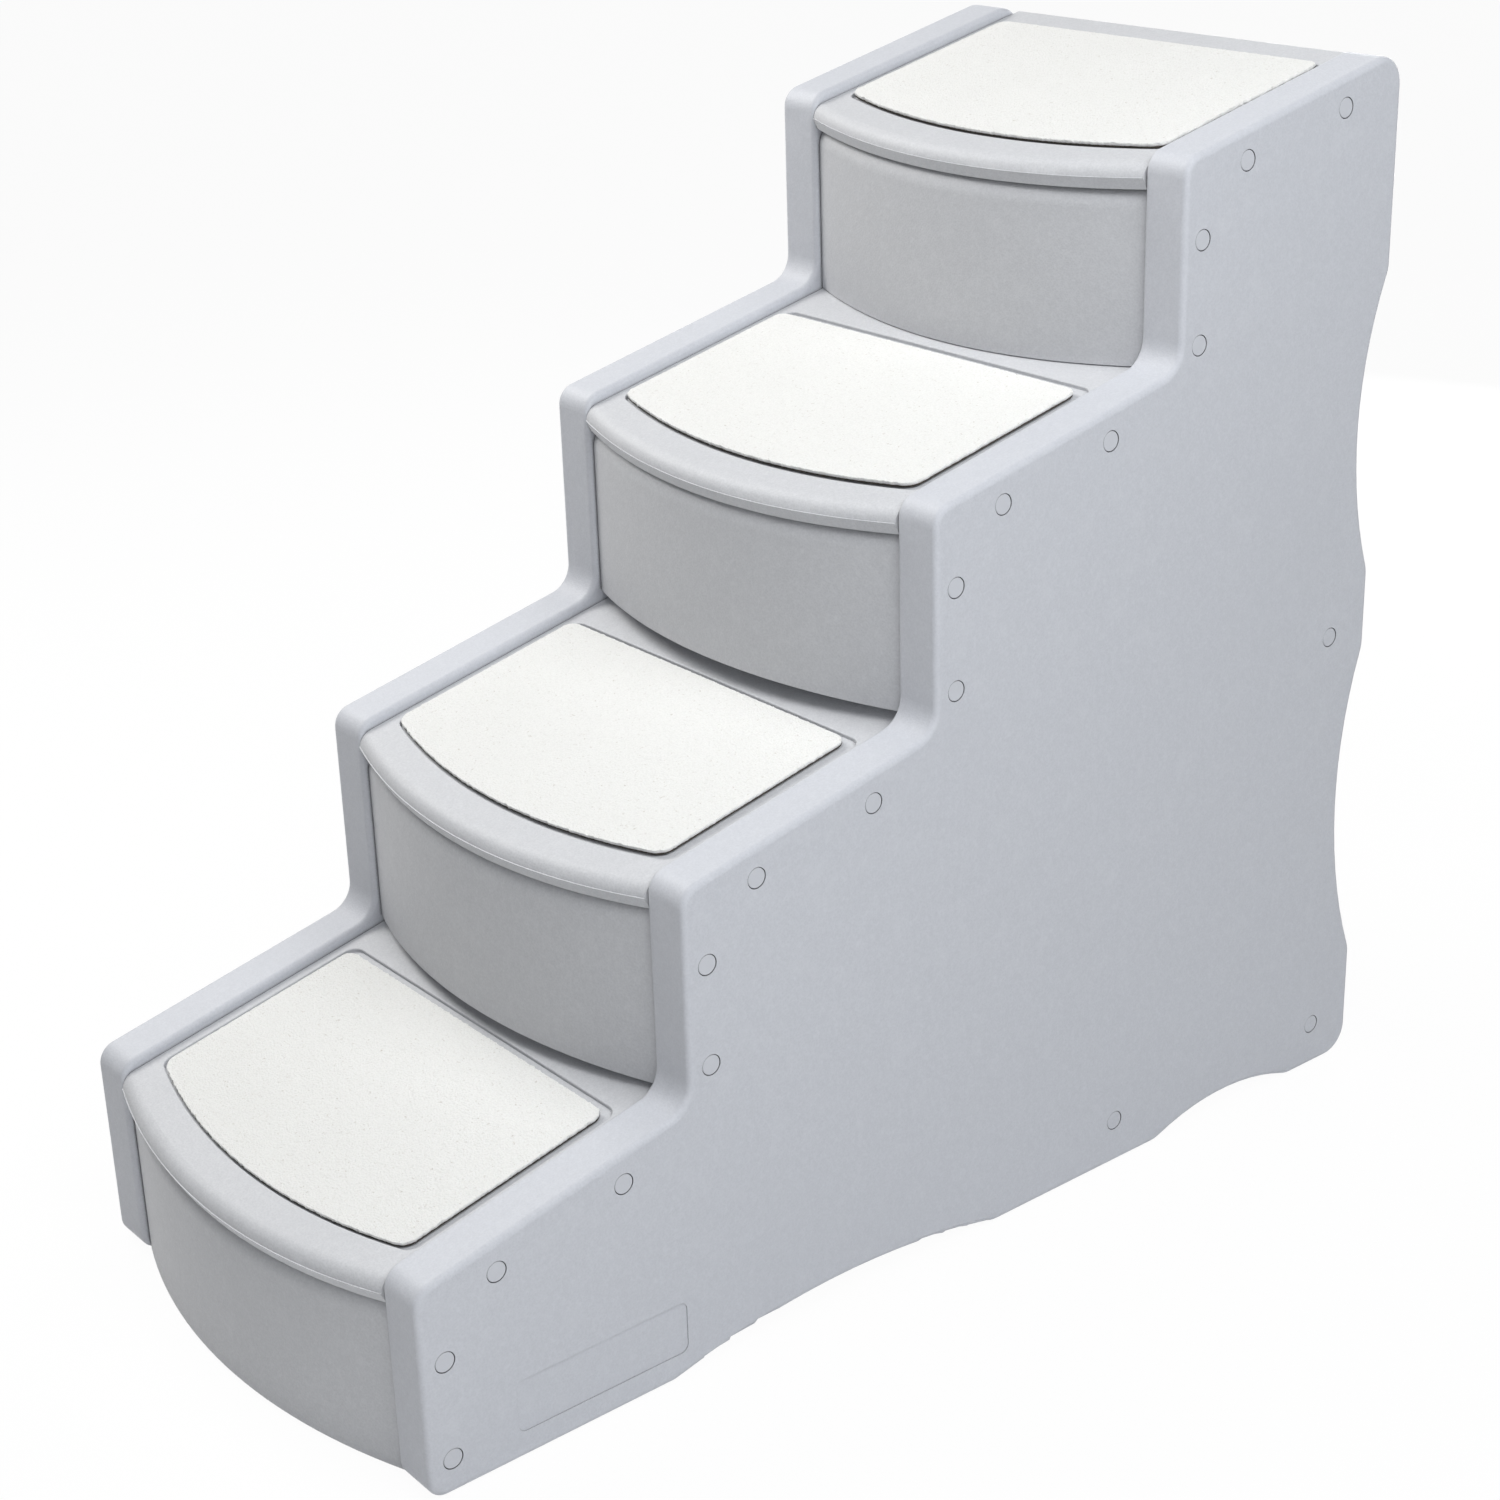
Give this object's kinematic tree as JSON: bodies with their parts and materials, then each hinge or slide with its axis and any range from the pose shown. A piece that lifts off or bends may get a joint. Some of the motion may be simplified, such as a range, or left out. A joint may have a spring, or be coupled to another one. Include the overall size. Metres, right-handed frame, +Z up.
{
  "type": "pet stairs",
  "caption": "Free-standing moulded pet stairs with stepped side panels, bowed treads and risers, and a lift-off carpet mat in each tread recess.",
  "frame": {"origin": "on the floor, at the middle of the stairs' width and length", "axes": "+X to the stairs' right as seen by someone climbing them, +Y from the first step to the back, +Z up"},
  "size_m": [0.406, 0.881, 0.7665],
  "materials": {
    "shell_plastic": "cool light grey moulded plastic with a fine pebble grain",
    "mat_pile": "short dense white carpet pile",
    "mat_backing": "dark woven backing, felt side of the hook tape",
    "hook_tape": "pale moulded nylon hooks on a thin strip, stuck to the recess floor",
    "grip_rubber": "dark ribless grip pad"
  },
  "bodies": {
    "stair_frame": {"left_side_panel": "shell_plastic", "right_side_panel": "shell_plastic", "tread_1": "shell_plastic", "riser_1": "shell_plastic", "hook_tape_1": "hook_tape", "tread_2": "shell_plastic", "riser_2": "shell_plastic", "hook_tape_2": "hook_tape", "tread_3": "shell_plastic", "riser_3": "shell_plastic", "hook_tape_3": "hook_tape", "tread_4": "shell_plastic", "riser_4": "shell_plastic", "hook_tape_4": "hook_tape", "upper_rear_tie_bar": "shell_plastic", "lower_rear_tie_bar": "shell_plastic", "floor_tie_bar": "shell_plastic", "left_front_grip": "grip_rubber", "left_middle_grip": "grip_rubber", "left_rear_grip": "grip_rubber", "right_front_grip": "grip_rubber", "right_middle_grip": "grip_rubber", "right_rear_grip": "grip_rubber"},
    "mat_1": {"mat_pile_1": "mat_pile", "mat_backing_1": "mat_backing"},
    "mat_2": {"mat_pile_2": "mat_pile", "mat_backing_2": "mat_backing"},
    "mat_3": {"mat_pile_3": "mat_pile", "mat_backing_3": "mat_backing"},
    "mat_4": {"mat_pile_4": "mat_pile", "mat_backing_4": "mat_backing"}
  },
  "joints": [
    {"name": "mat_1_lift", "type": "slide", "parent": "stair_frame", "child": "mat_1", "axis": [0, -0.2147, 0.9767], "range_m": [0, 0.12]},
    {"name": "mat_2_lift", "type": "slide", "parent": "stair_frame", "child": "mat_2", "axis": [0, -0.2147, 0.9767], "range_m": [0, 0.12]},
    {"name": "mat_3_lift", "type": "slide", "parent": "stair_frame", "child": "mat_3", "axis": [0, -0.2147, 0.9767], "range_m": [0, 0.12]},
    {"name": "mat_4_lift", "type": "slide", "parent": "stair_frame", "child": "mat_4", "axis": [0, -0.2147, 0.9767], "range_m": [0, 0.12]}
  ]
}
